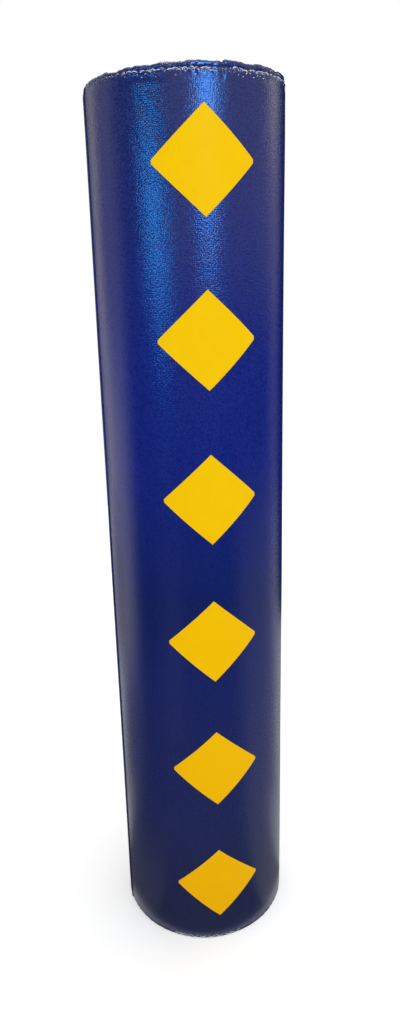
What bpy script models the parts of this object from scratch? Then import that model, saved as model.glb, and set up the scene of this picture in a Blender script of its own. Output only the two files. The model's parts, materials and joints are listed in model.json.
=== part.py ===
"""Goal post pad: a slit ring of soft foam in a sewn cover of coated fabric, with a closure flap.

Metres, +Z up. The origin is on the pad's axis at the face it stands on. The front, with its
decals, faces -Y, and the slit that lets the pad go round a post faces +Y. Azimuths are measured
about +Z from the front, positive towards +X. The cover's fabric is the hinge of each wing, and
the flap's stitch line is the hinge of the flap.
"""

import math

import bmesh
import bpy

PAD_HEIGHT = 1.8
PAD_DIAMETER = 0.372
POST_DIAMETER = 0.15
POST_CLEARANCE = 0.01
RIM_RADIUS = 0.016
STITCH_LINE_DEPTH = 0.0015
STITCH_LINE_SPREAD = 0.004
TOP_GATHER_DEPTH = 0.0025
BOTTOM_GATHER_DEPTH = 0.001

SKIN_THICKNESS = 0.001
LINING_THICKNESS = 0.001
CAP_THICKNESS = 0.0015
LAYER_GAP = 0.0003
SKIN_LIFT = 0.0005

HINGE_AZIMUTH = math.radians(100)
BACK_AZIMUTH = math.radians(180)
RELIEF_CUT_WIDTH = 0.001
SLIT_WIDTH = 0.002
FACET_AZIMUTH = math.radians(5)
RIM_FACETS = 4

DECAL_COUNT = 6
DECAL_WIDTH = 0.185
DECAL_HEIGHT = 0.18
DECAL_THICKNESS = 0.0004
DECAL_TIP = 0.003

FLAP_THICKNESS = 0.001
FLAP_STITCH_FROM_SLIT = 0.012
FLAP_EDGE_MARGIN = 0.005
FLAP_ABOVE_RIM = 0.014
HEM_WIDTH = 0.016
HEM_CLEARANCE = 0.0004
TAPE_WIDTH = 0.05
TAPE_THICKNESS = 0.0008
TAPE_FROM_SLIT = 0.009
TAPE_END_MARGIN = 0.015

OUTER_RADIUS = PAD_DIAMETER / 2
BORE_RADIUS = (POST_DIAMETER + POST_CLEARANCE) / 2
SKIN_END_RADIUS = OUTER_RADIUS - RIM_RADIUS
LOOP_TAPE_RADIUS = OUTER_RADIUS + LAYER_GAP
HOOK_TAPE_RADIUS = LOOP_TAPE_RADIUS + TAPE_THICKNESS + LAYER_GAP
FLAP_RADIUS = HOOK_TAPE_RADIUS + TAPE_THICKNESS + LAYER_GAP
FLAP_HINGE_RADIUS = FLAP_RADIUS + FLAP_THICKNESS
HEM_THICKNESS = FLAP_RADIUS - LAYER_GAP - LOOP_TAPE_RADIUS
TAPE_REACH = TAPE_FROM_SLIT + TAPE_WIDTH
FLAP_REACH = TAPE_REACH + FLAP_EDGE_MARGIN
FLAP_END = RIM_RADIUS + FLAP_ABOVE_RIM
TAPE_END = FLAP_END + TAPE_END_MARGIN


def clear_scene():
    for existing in list(bpy.data.objects):
        bpy.data.objects.remove(existing, do_unlink=True)


def principled(name, colour, roughness):
    """A non-metallic material of one colour, given as linear red, green and blue."""
    material = bpy.data.materials.new(name)
    material.use_nodes = True
    shader = material.node_tree.nodes["Principled BSDF"]
    shader.inputs["Base Color"].default_value = (*colour, 1.0)
    shader.inputs["Roughness"].default_value = roughness
    return material


def polar(radius, azimuth, z):
    return (radius * math.sin(azimuth), -radius * math.cos(azimuth), z)


def object_of(name, bm, material, joint):
    """Puts a finished bmesh into the scene as a smooth-shaded object, carried by its joint's empty."""
    bmesh.ops.recalc_face_normals(bm, faces=bm.faces)
    mesh = bpy.data.meshes.new(name)
    bm.to_mesh(mesh)
    bm.free()
    mesh.shade_smooth()
    mesh.set_sharp_from_angle(angle=math.radians(30))
    mesh.materials.append(material)
    piece = bpy.data.objects.new(name, mesh)
    bpy.context.scene.collection.objects.link(piece)
    if joint:
        piece.parent = joint
        piece.matrix_parent_inverse = joint.matrix_world.inverted()
    return piece


def joint_empty(name, radius, azimuth):
    """An empty on a vertical hinge line."""
    empty = bpy.data.objects.new(name, None)
    empty.location = polar(radius, azimuth, PAD_HEIGHT / 2)
    empty.empty_display_size = 0.05
    bpy.context.scene.collection.objects.link(empty)
    bpy.context.view_layer.update()
    return empty


def facet_azimuths(start, end):
    """The ends, and every whole facet line between them, so that all layers bend at the same lines."""
    margin = 0.1 * FACET_AZIMUTH
    first = math.floor(start / FACET_AZIMUTH)
    last = math.ceil(end / FACET_AZIMUTH)
    lines = [step * FACET_AZIMUTH for step in range(first, last + 1)]
    return [start] + [line for line in lines if start + margin < line < end - margin] + [end]


def sector(profile_at, start, end, start_inset=0.0, end_inset=0.0):
    """Sweeps a closed profile of (radius, z) points about the axis from one azimuth to another.

    Each end is a plane parallel to the radial plane there, moved in by its inset, so a cut
    between two sectors has the same width all along. Every four-sided patch is split the same
    way, from its lower corner on one line to its higher corner on the next, so the faces of
    two layers stay parallel where the rim is gathered.
    """
    bm = bmesh.new()
    azimuths = facet_azimuths(start, end)
    insets = [start_inset] + [0.0] * (len(azimuths) - 2) + [-end_inset]
    rings = []
    for azimuth, inset in zip(azimuths, insets):
        profile = profile_at(azimuth + math.asin(inset / OUTER_RADIUS))
        turned = [polar(radius, azimuth + math.asin(inset / radius), z) for radius, z in profile]
        rings.append([bm.verts.new(point) for point in turned])
    for ring, following in zip(rings, rings[1:]):
        for i in range(len(ring)):
            j = (i + 1) % len(ring)
            if ring[i].co.z <= ring[j].co.z:
                bm.faces.new((ring[i], ring[j], following[j]))
                bm.faces.new((ring[i], following[j], following[i]))
            else:
                bm.faces.new((ring[i], ring[j], following[i]))
                bm.faces.new((ring[j], following[j], following[i]))
    bm.faces.new(rings[0])
    bm.faces.new(list(reversed(rings[-1])))
    return bm


def gather(azimuth):
    """How deep the rim is gathered at an azimuth: 0 on every second facet line and 1 between."""
    return 1 - abs(azimuth / FACET_AZIMUTH % 2 - 1)


def rim(inset, fold_depth):
    """One rim as (radius, distance from the pad's end), from its turned-in end to the plain wall.

    It is a quarter round, drawn in by the folds of the gathered fabric and, at its foot, by the
    line of stitches round the pad.
    """
    points = []
    for step in range(RIM_FACETS):
        angle = math.radians(90) * (1 - step / RIM_FACETS)
        reach = RIM_RADIUS - inset - fold_depth * math.sin(2 * angle)
        radius = SKIN_END_RADIUS + reach * math.cos(angle)
        points.append((radius, SKIN_LIFT + RIM_RADIUS - reach * math.sin(angle)))
    stitches = SKIN_LIFT + RIM_RADIUS
    points.append((OUTER_RADIUS - inset - STITCH_LINE_DEPTH, stitches))
    points.append((OUTER_RADIUS - inset, stitches + STITCH_LINE_SPREAD))
    return points


def side(inset, azimuth):
    """The side of the pad from its bottom rim to its top rim, moved in from the outer surface."""
    lower = rim(inset, BOTTOM_GATHER_DEPTH * gather(azimuth))
    upper = rim(inset, TOP_GATHER_DEPTH * gather(azimuth))
    return lower + [(radius, PAD_HEIGHT - depth) for radius, depth in reversed(upper)]


def skin_profile(azimuth):
    """A sheet over the side, turned in at both rims to meet the caps."""
    return side(0.0, azimuth) + list(reversed(side(SKIN_THICKNESS, azimuth)))


def filling_profile(inner_radius):
    """Everything inside the skin, from a radius outwards and from cap to cap."""

    def profile(azimuth):
        outside = side(SKIN_THICKNESS + LAYER_GAP, azimuth)
        return [(inner_radius, outside[0][1])] + outside + [(inner_radius, outside[-1][1])]

    return profile


def upright(inner_radius, outer_radius, low, high):
    """A plain wall, the same at every azimuth."""
    corners = [(inner_radius, low), (outer_radius, low), (outer_radius, high), (inner_radius, high)]
    return lambda azimuth: corners


def segment(name, start, end, start_gap, end_gap, joint, finishes):
    """One part of the pad: its foam, skin, lining and two caps, between two cuts through the ring."""
    behind_lining = LINING_THICKNESS + LAYER_GAP
    foam = sector(
        filling_profile(BORE_RADIUS + behind_lining),
        start,
        end,
        start_gap + behind_lining,
        end_gap + behind_lining,
    )
    object_of(f"{name}_foam", foam, finishes["foam"], joint)
    skin = sector(skin_profile, start, end, start_gap, end_gap)
    object_of(f"{name}_skin", skin, finishes["cover"], joint)
    cap_outer = SKIN_END_RADIUS - LAYER_GAP
    for place, low in (("bottom", 0.0), ("top", PAD_HEIGHT - CAP_THICKNESS)):
        profile = upright(BORE_RADIUS, cap_outer, low, low + CAP_THICKNESS)
        cap = sector(profile, start, end, start_gap, end_gap)
        object_of(f"{name}_{place}_cap", cap, finishes["cover"], joint)
    lining(name, start, end, start_gap, end_gap, joint, finishes)


def lining(name, start, end, start_gap, end_gap, joint, finishes):
    """One sheet that lines the bore and turns out along both cuts: the filling less the foam's pocket."""
    sheet = object_of(
        f"{name}_lining",
        sector(filling_profile(BORE_RADIUS), start, end, start_gap, end_gap),
        finishes["cover"],
        joint,
    )
    beyond = LINING_THICKNESS * 20
    pocket_profile = upright(
        BORE_RADIUS + LINING_THICKNESS, OUTER_RADIUS + beyond, -beyond, PAD_HEIGHT + beyond
    )
    pocket = object_of(
        f"{name}_pocket_cutter",
        sector(
            pocket_profile, start, end, start_gap + LINING_THICKNESS, end_gap + LINING_THICKNESS
        ),
        finishes["cover"],
        joint,
    )
    pocket.hide_render = True
    pocket.display_type = "WIRE"
    cut = sheet.modifiers.new("pocket", "BOOLEAN")
    cut.operation = "DIFFERENCE"
    cut.object = pocket


def decal(index, finishes):
    """A lozenge of thin film on the front skin, whose height falls off evenly from its middle line."""
    half_azimuth = DECAL_WIDTH / 2 / OUTER_RADIUS
    centre_z = PAD_HEIGHT * (index + 0.5) / DECAL_COUNT
    inner = OUTER_RADIUS + LAYER_GAP

    def profile(azimuth):
        fall = 1 - abs(azimuth) / half_azimuth
        half_height = DECAL_TIP + (DECAL_HEIGHT / 2 - DECAL_TIP) * fall
        ends = (centre_z - half_height, centre_z + half_height)
        return upright(inner, inner + DECAL_THICKNESS, *ends)(azimuth)

    film = sector(profile, -half_azimuth, half_azimuth)
    object_of(f"decal_{index + 1}", film, finishes["decal"], None)


def strip(name, inner_radius, thickness, near, far, end_inset, finish, joint):
    """A strip along the back of the pad, given by how far its edges lie from the slit, towards +X."""
    profile = upright(inner_radius, inner_radius + thickness, end_inset, PAD_HEIGHT - end_inset)
    start = BACK_AZIMUTH - far / OUTER_RADIUS
    end = BACK_AZIMUTH - near / OUTER_RADIUS
    object_of(name, sector(profile, start, end), finish, joint)


def closure(left_joint, right_joint, finishes):
    """The flap over the slit, the hem that sews it to the left wing, and its two fastening tapes."""
    stitch = -FLAP_STITCH_FROM_SLIT
    flap_joint = joint_empty(
        "closure_flap_hinge", FLAP_HINGE_RADIUS, BACK_AZIMUTH - stitch / OUTER_RADIUS
    )
    flap_joint.parent = left_joint
    flap_joint.matrix_parent_inverse = left_joint.matrix_world.inverted()
    bpy.context.view_layer.update()
    strip(
        "closure_flap",
        FLAP_RADIUS,
        FLAP_THICKNESS,
        stitch,
        FLAP_REACH,
        FLAP_END,
        finishes["cover"],
        flap_joint,
    )
    strip(
        "flap_hem",
        LOOP_TAPE_RADIUS,
        HEM_THICKNESS,
        stitch - HEM_CLEARANCE - HEM_WIDTH,
        stitch - HEM_CLEARANCE,
        FLAP_END,
        finishes["cover"],
        left_joint,
    )
    tapes = (
        ("hook_tape", HOOK_TAPE_RADIUS, flap_joint),
        ("loop_tape", LOOP_TAPE_RADIUS, right_joint),
    )
    for name, radius, joint in tapes:
        strip(
            name, radius, TAPE_THICKNESS, TAPE_FROM_SLIT, TAPE_REACH, TAPE_END,
            finishes["tape"], joint,
        )


def main():
    clear_scene()
    finishes = {
        "cover": principled("coated_fabric", (0.009, 0.016, 0.16), 0.35),
        "foam": principled("polyethylene_foam", (0.55, 0.56, 0.58), 0.9),
        "decal": principled("heat_applied_vinyl", (0.86, 0.55, 0.0), 0.45),
        "tape": principled("hook_and_loop_tape", (0.02, 0.02, 0.025), 0.95),
    }
    left_joint = joint_empty("left_wing_hinge", OUTER_RADIUS, -HINGE_AZIMUTH)
    right_joint = joint_empty("right_wing_hinge", OUTER_RADIUS, HINGE_AZIMUTH)
    cut = RELIEF_CUT_WIDTH / 2
    slit = SLIT_WIDTH / 2
    segment("front", -HINGE_AZIMUTH, HINGE_AZIMUTH, cut, cut, None, finishes)
    segment("left", -BACK_AZIMUTH, -HINGE_AZIMUTH, slit, cut, left_joint, finishes)
    segment("right", HINGE_AZIMUTH, BACK_AZIMUTH, cut, slit, right_joint, finishes)
    for index in range(DECAL_COUNT):
        decal(index, finishes)
    closure(left_joint, right_joint, finishes)


main()
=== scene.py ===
import json
import math

import bpy
import numpy as np
from mathutils import Matrix, Quaternion, Vector

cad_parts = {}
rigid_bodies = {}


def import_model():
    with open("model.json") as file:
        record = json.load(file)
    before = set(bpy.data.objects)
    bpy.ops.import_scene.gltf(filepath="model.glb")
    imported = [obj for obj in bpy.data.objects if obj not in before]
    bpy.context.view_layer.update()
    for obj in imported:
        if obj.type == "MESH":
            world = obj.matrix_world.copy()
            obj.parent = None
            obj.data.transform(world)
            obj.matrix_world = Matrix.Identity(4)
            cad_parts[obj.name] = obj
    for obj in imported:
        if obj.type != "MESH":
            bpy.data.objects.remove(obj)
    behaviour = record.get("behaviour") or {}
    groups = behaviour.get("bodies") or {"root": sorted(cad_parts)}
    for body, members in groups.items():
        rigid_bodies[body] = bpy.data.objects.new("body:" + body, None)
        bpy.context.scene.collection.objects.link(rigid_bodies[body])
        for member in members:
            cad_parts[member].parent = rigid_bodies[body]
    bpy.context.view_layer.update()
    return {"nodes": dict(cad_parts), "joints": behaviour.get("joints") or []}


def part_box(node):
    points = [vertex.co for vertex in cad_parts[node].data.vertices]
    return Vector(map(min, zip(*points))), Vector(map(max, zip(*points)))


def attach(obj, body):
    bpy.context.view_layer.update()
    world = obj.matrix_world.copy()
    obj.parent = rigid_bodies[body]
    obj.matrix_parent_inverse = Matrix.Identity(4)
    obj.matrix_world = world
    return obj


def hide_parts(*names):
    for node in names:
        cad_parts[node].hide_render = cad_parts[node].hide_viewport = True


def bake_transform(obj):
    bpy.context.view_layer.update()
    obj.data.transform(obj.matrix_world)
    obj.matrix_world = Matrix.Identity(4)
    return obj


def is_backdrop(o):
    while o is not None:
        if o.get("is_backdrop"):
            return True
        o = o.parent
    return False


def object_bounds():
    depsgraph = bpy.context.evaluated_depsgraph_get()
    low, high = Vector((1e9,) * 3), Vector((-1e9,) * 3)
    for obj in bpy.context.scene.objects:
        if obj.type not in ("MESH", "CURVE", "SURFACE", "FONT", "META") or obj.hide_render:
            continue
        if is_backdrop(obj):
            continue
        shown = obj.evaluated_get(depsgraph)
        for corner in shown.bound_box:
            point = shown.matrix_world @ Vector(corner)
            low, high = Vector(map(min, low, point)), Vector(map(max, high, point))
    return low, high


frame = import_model()

MM = 0.001

# Foam core
# A thick tube of closed-cell polyethylene foam, cut from sheet and rolled, with a slit at its back.
# Two relief cuts let its back parts swing out, so it is in three parts. The cover hides all of it.

PAD_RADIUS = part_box("front_skin")[1].x
PAD_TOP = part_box("front_top_cap")[1].z
BORE_RADIUS = -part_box("front_lining")[0].y
RELIEF_GAP = 0.5 * MM
SLIT_GAP = 1 * MM
BACK = math.pi
JOINTS = {joint["name"]: joint for joint in frame["joints"]}
hinge_at = JOINTS["right_wing_open"]["pos_m"]
HINGE = math.atan2(hinge_at[0], -hinge_at[1])

# Each part of the pad: its first and last azimuth, the half gap of the cut at each, and its body.
PARTS = {
    "front": (-HINGE, HINGE, RELIEF_GAP, RELIEF_GAP, "front_segment"),
    "left": (-BACK, -HINGE, SLIT_GAP, RELIEF_GAP, "left_wing"),
    "right": (HINGE, BACK, RELIEF_GAP, SLIT_GAP, "right_wing"),
}


def as_points(*coordinates):
    """Points from an array for each of their coordinates. The arrays are broadcast."""
    return np.stack(np.broadcast_arrays(*coordinates), axis=-1)


def polar(radius, azimuth, z):
    """Points at a radius and an azimuth about the pad's axis: x is radius times sine, y is minus
    radius times cosine, so azimuth 0 faces -Y and grows towards +X."""
    return as_points(radius * np.sin(azimuth), -radius * np.cos(azimuth), z)


def grid_quads(rows, columns, rows_close=False):
    """The quads of a grid whose points are numbered row by row. Columns go round to the right and
    rows go up, so the faces point outwards."""
    index = np.arange(rows * columns).reshape(rows, columns)
    if rows_close:
        index = np.vstack([index, index[:1]])
    corners = (index[:-1, :-1], index[:-1, 1:], index[1:, 1:], index[1:, :-1])
    return np.stack(corners, axis=-1).reshape(-1, 4)


def new_piece(name, points, faces, *materials, cloth=None):
    """An object at the origin with this mesh and these materials. cloth gives each point's place on
    the flat cloth, in metres, for the weave to follow when the piece bends."""
    mesh = bpy.data.meshes.new(name)
    points = np.asarray(points, float).reshape(-1, 3)
    mesh.from_pydata(points.tolist(), [], [list(map(int, face)) for face in faces])
    if cloth is not None:
        layer = mesh.attributes.new("cloth", "FLOAT_VECTOR", "POINT")
        flat = np.zeros((len(points), 3), np.float32)
        flat[:, :2] = np.asarray(cloth, float).reshape(-1, 2)
        layer.data.foreach_set("vector", flat.ravel())
    mesh.shade_smooth()
    for material in materials:
        mesh.materials.append(material)
    piece = bpy.data.objects.new(name, mesh)
    bpy.context.scene.collection.objects.link(piece)
    return piece


def linear(hex_colour):
    """An sRGB colour such as "1A2B3C" as the linear red, green, blue and alpha that nodes take."""
    parts = [int(hex_colour[i : i + 2], 16) / 255 for i in (0, 2, 4)]
    return [c / 12.92 if c <= 0.04045 else ((c + 0.055) / 1.055) ** 2.4 for c in parts] + [1]


def add(tree, kind, inputs=None, **settings):
    """Adds one shader node. Each input is a plain value, the socket that feeds it, or a node whose
    first output in use does. Settings are the node's own properties."""
    made = tree.nodes.new("ShaderNode" + kind)
    for name, value in settings.items():
        setattr(made, name, value)
    for name, value in (inputs or {}).items():
        if isinstance(value, bpy.types.Node):
            value = next(output for output in value.outputs if output.enabled)
        if isinstance(value, bpy.types.NodeSocket):
            tree.links.new(value, made.inputs[name])
        else:
            made.inputs[name].default_value = value
    return made


def new_material(name):
    """A material and its node tree, which is empty."""
    material = bpy.data.materials.new(name)
    material.use_nodes = True
    material.node_tree.nodes.clear()
    return material, material.node_tree


def polyethylene_foam():
    """Closed-cell polyethylene foam: a dull pale grey skin with cells about 1.5 mm across, which
    show as fine pits and a little mottling."""
    material, tree = new_material("polyethylene_foam")
    place = add(tree, "TexCoord").outputs["Object"]
    cells = add(tree, "TexVoronoi", {"Vector": place, "Scale": 1 / (1.5 * MM)})
    mottle = add(tree, "TexNoise", {"Vector": place, "Scale": 40.0, "Detail": 4.0})
    shades = {"Factor": mottle, "A": linear("C9CBCE"), "B": linear("B6B9BE")}
    colour = add(tree, "Mix", shades, data_type="RGBA")
    pits = add(tree, "Bump", {"Height": cells, "Distance": 0.3 * MM, "Strength": 0.6})
    skin = {"Base Color": colour, "Roughness": 0.85, "Normal": pits}
    add(tree, "OutputMaterial", {"Surface": add(tree, "BsdfPrincipled", skin)})
    return material


FOAM_INSET = 2.2 * MM
FOAM_END = 4.2 * MM
FOAM_CORNER = 26 * MM


def foam_section(inner, outer, low, high):
    """A closed outline in radius and height: a box with four quarter rounds of one radius at its
    corners, and even points up its two long sides."""
    turn = np.radians(np.linspace(0, 90, 10))
    side = np.linspace(low + FOAM_CORNER, high - FOAM_CORNER, 25)[1:-1]
    outline = []
    for centre_r, centre_z, start in (
        (outer - FOAM_CORNER, low + FOAM_CORNER, -90),
        (outer - FOAM_CORNER, high - FOAM_CORNER, 0),
        (inner + FOAM_CORNER, high - FOAM_CORNER, 90),
        (inner + FOAM_CORNER, low + FOAM_CORNER, 180),
    ):
        angle = turn + math.radians(start)
        r = centre_r + FOAM_CORNER * np.cos(angle)
        z = centre_z + FOAM_CORNER * np.sin(angle)
        outline.append(as_points(r, z))
        if start == -90:
            outline.append(as_points(outer, side))
        if start == 90:
            outline.append(as_points(inner, side[::-1]))
    return np.vstack(outline)


def azimuths_of(start, end, radius, step):
    """Even azimuths from start to end, about one step of length apart at a radius."""
    return np.linspace(start, end, max(3, round((end - start) * radius / step) + 1))


foam_material = polyethylene_foam()
section = foam_section(
    BORE_RADIUS + FOAM_INSET, PAD_RADIUS - FOAM_INSET, FOAM_END, PAD_TOP - FOAM_END
)
for part, (start, end, start_gap, end_gap, body) in PARTS.items():
    azimuths = azimuths_of(start, end, PAD_RADIUS, 8 * MM)
    share = np.linspace(0, 1, len(azimuths))
    r = section[:, :1]
    first = start + (start_gap + FOAM_INSET) / r
    last = end - (end_gap + FOAM_INSET) / r
    points = polar(r, first + (last - first) * share, section[:, 1:])
    faces = list(grid_quads(len(section), len(azimuths), rows_close=True))
    ends = np.arange(len(section)) * len(azimuths)
    faces.append(ends[::-1])
    faces.append(ends + len(azimuths) - 1)
    core = new_piece(f"{part}_foam_core", points, faces, foam_material)
    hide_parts(f"{part}_foam")
    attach(core, body)

# Cover
# Royal blue PVC-coated polyester, about 1 mm thick, sewn into a sleeve. A front panel is lapped by
# two side panels, and at both rims the fabric is gathered over the foam's edge in a rolled hem.

SKIN = 1 * MM
SCRIM_PITCH = 3.2 * MM
CIRCUMFERENCE = 2 * math.pi * PAD_RADIUS

# Points of the rims' outlines, as millimetres in from the wall and millimetres from the pad's end.
TOP_RIM = (
    (0, 60), (0, 40), (-0.2, 29), (0.2, 24), (0.7, 20), (0.7, 17), (1.0, 13), (2.0, 10.4),
    (3.7, 9.2), (2.6, 8.0), (1.9, 6.0), (2.0, 3.6), (3.4, 1.3), (6.2, 0.1), (9.4, 0.5), (12.6, 2.4),
    (14.6, 5), (15, 8),
)
BOTTOM_RIM = (
    (0, 60), (0, 40), (0, 24), (0, 14), (0.2, 9), (0.8, 6.6), (2.0, 5.6), (0.9, 4.5), (0.4, 2.6),
    (1.3, 0.6), (3.6, 0), (8, 0), (12, 0.3), (14.6, 2.2), (15, 6),
)
CREASE = 9.2 * MM
GATHER_LINE = 20 * MM
FOOT_CREASE = 5.6 * MM


def curve_through(points, step):
    """A Catmull-Rom curve through points, cut into even steps: between two points it is the cubic
    whose slopes there are half the way between their neighbours."""
    p = np.array(points, float)
    p = np.vstack([2 * p[0] - p[1], p, 2 * p[-1] - p[-2]])
    a, b, c, d = (q[:, None, :] for q in (p[:-3], p[1:-2], p[2:-1], p[3:]))
    t = np.linspace(0, 1, 16, endpoint=False)[None, :, None]
    cubic = b + (c - a) * t / 2 + (2 * a - 5 * b + 4 * c - d) * t**2 / 2
    cubic = (cubic + (3 * b - a - 3 * c + d) * t**3 / 2).reshape(-1, p.shape[1])
    cubic = np.vstack([cubic, p[-2]])
    length = np.concatenate([[0], np.cumsum(np.linalg.norm(np.diff(cubic, axis=0), axis=1))])
    even = np.linspace(0, length[-1], round(length[-1] / step) + 1)
    return np.stack([np.interp(even, length, line) for line in cubic.T], axis=-1)


def cover_outline():
    """The cover's outline from the seam with the bottom cap up to the seam with the top cap, as
    arrays of radius, height and length from the start."""
    low = curve_through(BOTTOM_RIM, 1.3)[::-1] * MM
    high = curve_through(TOP_RIM, 1.3) * MM
    wall = np.linspace(low[-1, 1], PAD_TOP - high[0, 1], 44)[1:-1]
    radius = PAD_RADIUS - np.concatenate([low[:, 0], 0 * wall, high[:, 0]])
    height = np.concatenate([low[:, 1], wall, PAD_TOP - high[:, 1]])
    steps = np.hypot(np.diff(radius), np.diff(height))
    return radius, height, np.concatenate([[0], np.cumsum(steps)])


OUTLINE_R, OUTLINE_Z, OUTLINE_LENGTH = cover_outline()


def length_at(height):
    """The length along the outline where the wall or a rim's outer face has this height."""
    rising = (OUTLINE_Z > 2 * MM) & (OUTLINE_Z < PAD_TOP - 2 * MM) & (OUTLINE_R > PAD_RADIUS - 4 * MM)
    return np.interp(height, OUTLINE_Z[rising], OUTLINE_LENGTH[rising])


def ripple(azimuth, pitch, seed):
    """An uneven wave round the pad: a sum of five sines whose counts of waves lie about the
    circumference over the pitch, so it meets itself. It stays about between -1 and 1."""
    draw = np.random.default_rng(seed)
    counts = np.round(CIRCUMFERENCE / pitch * draw.uniform(0.65, 1.5, 5))
    phases = draw.uniform(0, 2 * math.pi, 5)
    wave = sum(np.sin(count * azimuth + phase) for count, phase in zip(counts, phases))
    return wave / 2.6


def pucker(azimuth, pitch, seed):
    """Round folds with narrow valleys between them, from -1 in a valley to 1 on a fold: twice the
    rounded size of a ripple of twice the pitch, less 1."""
    return 2 * np.sqrt(ripple(azimuth, 2 * pitch, seed) ** 2 + 0.01) - 1


def smooth_step(value, low, high):
    """0 up to low and 1 from high on, with a cubic between."""
    t = np.clip((value - low) / (high - low), 0, 1)
    return t * t * (3 - 2 * t)


def bell(value, centre, width):
    """1 at the centre, falling off on both sides as a Gaussian of that width."""
    return np.exp(-(((value - centre) / width) ** 2))


# Folds that stand out and waves that rise: the zone, the form, the size and the pitch round the pad,
# both in millimetres, and the seed.
FOLDS_OUT = (
    ("hem", ripple, 0.8, 48, 3),
    ("crease", pucker, 0.8, 12, 5),
    ("fall", pucker, 0.4, 19, 8),
    ("crease", ripple, 0.4, 8, 21),
    ("foot", ripple, 0.4, 24, 31),
    ("foot", pucker, 0.35, 14, 33),
)
WAVES_UP = (
    ("seam", ripple, 0.9, 37, 13),
    ("top", ripple, 1.1, 85, 17),
    ("top", ripple, 0.45, 16, 19),
)

# Slow waves of the wall: size in millimetres, waves round the pad, turn for a metre up, and start.
WALL_WAVES = ((0.22, 3, 5.1, 0.6), (0.22, 5, -7.7, 2.1), (0.11, 9, 3.3, 1.2), (0.11, 11, -12.9, 4.0))

# Wide bends round the pad: their middle and width in degrees, and their size in millimetres.
RIM_BENDS = ((12, 36, 3.0), (-58, 28, -4.2))
FOOT_BENDS = ((-8, 32, 3.0), (-70, 18, -1.2), (54, 18, -1.2))

# A deep tuck between two lips, and the seam where the rim is drawn in and down.
NOTCH = math.radians(10.5)
NOTCH_DEPTH = 3.4 * MM
NOTCH_LIP = 1.2 * MM
DRAWN_IN = math.radians(-96)
DRAWN_DEPTH = 7 * MM
DRAWN_FALL = 3 * MM


def folds(table, zones, azimuth):
    """The sum of a table's folds, each its wave times its size times its zone."""
    return sum(
        zones[zone] * size * MM * form(azimuth, pitch * MM, seed)
        for zone, form, size, pitch, seed in table
    )


def bends(table, azimuth):
    """The sum of a table's bends, each a bell of its width times its size."""
    return sum(
        size * MM * bell(azimuth, math.radians(middle), math.radians(width))
        for middle, width, size in table
    )


def cover_surface(azimuth, along, lift=0.0):
    """Points of the cover at an azimuth and a length along its outline, raised by a lift. The
    outline is turned about the axis and moved along its normal by the folds of the gathers, which
    are deepest at the rims' creases and fade out below the gather line, and by the wall's own
    slight waves. One deep tuck stands at the notch, and the rim is drawn in at the left seam."""
    r = np.interp(along, OUTLINE_LENGTH, OUTLINE_R)
    z = np.interp(along, OUTLINE_LENGTH, OUTLINE_Z)
    nr = np.interp(along, OUTLINE_LENGTH, np.gradient(OUTLINE_Z, OUTLINE_LENGTH))
    nz = -np.interp(along, OUTLINE_LENGTH, np.gradient(OUTLINE_R, OUTLINE_LENGTH))
    size = np.hypot(nr, nz)
    nr, nz = nr / size, nz / size
    below = PAD_TOP - z
    outer_face = smooth_step(PAD_RADIUS - r, 15 * MM, 9 * MM)
    zones = {
        "hem": smooth_step(below, CREASE, CREASE - 3 * MM) * outer_face,
        "crease": bell(below, CREASE + 1 * MM, 4.5 * MM),
        "fall": bell(below, CREASE + 3 * MM, 8 * MM) * outer_face,
        "seam": bell(below, CREASE, 5 * MM),
        "top": smooth_step(below, 12 * MM, 6 * MM) * outer_face,
        "foot": bell(z, FOOT_CREASE, 6 * MM) * outer_face,
    }
    move = folds(FOLDS_OUT, zones, azimuth)
    z = z + folds(WAVES_UP, zones, azimuth) + zones["top"] * bends(RIM_BENDS, azimuth)

    arc = (azimuth - NOTCH) * PAD_RADIUS
    notch = NOTCH_LIP * bell(arc, 7 * MM, 4 * MM) - NOTCH_DEPTH * bell(arc, 0, 2.4 * MM)
    move = move + bell(below, 8 * MM, 12 * MM) * outer_face * notch
    drawn = bell(azimuth, DRAWN_IN, math.radians(20)) * smooth_step(below, 26 * MM, 2 * MM) * outer_face
    move = move - DRAWN_DEPTH * drawn * bell(below, 4 * MM, 20 * MM)
    z = z - DRAWN_FALL * drawn

    near_floor = smooth_step(z, 70 * MM, 4 * MM) * outer_face
    move = move + near_floor * bends(FOOT_BENDS, azimuth)
    wall = smooth_step(z, 20 * MM, 120 * MM) * smooth_step(below, 20 * MM, 120 * MM)
    for size, count, turn, start in WALL_WAVES:
        move = move + wall * size * MM * np.sin(count * azimuth + turn * z + start)
    z = np.maximum(z + nz * (move + lift), 0.02 * MM)
    return polar(r + nr * (move + lift), azimuth, z)


def near_foot(tree):
    """The height of each point, and a share that is 1 at the foot and falls to 0 at 1.1 m."""
    place = add(tree, "TexCoord").outputs["Object"]
    height = add(tree, "SeparateXYZ", {"Vector": place}).outputs["Z"]
    return height, add(tree, "MapRange", {"Value": height, "From Min": 1.1, "From Max": 0.05})


def on_cloth(tree):
    """Each point's place on the flat cloth: the whole, its X and its Y."""
    flat = add(tree, "Attribute", attribute_name="cloth").outputs["Vector"]
    axes = add(tree, "SeparateXYZ", {"Vector": flat})
    return flat, axes.outputs["X"], axes.outputs["Y"]


def yarn_grid(tree, across, up):
    """How far the film stands out over a grid of yarns: the size of a sine wave with one hump to
    each yarn, across the cloth, times the same up it."""
    ribs = []
    for line in (across, up):
        phase = add(tree, "Math", {0: line, 1: math.pi / SCRIM_PITCH}, operation="MULTIPLY")
        wave = add(tree, "Math", {0: phase}, operation="SINE")
        ribs.append(add(tree, "Math", {0: wave}, operation="ABSOLUTE"))
    return add(tree, "Math", {0: ribs[0], 1: ribs[1]}, operation="MULTIPLY")


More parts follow.
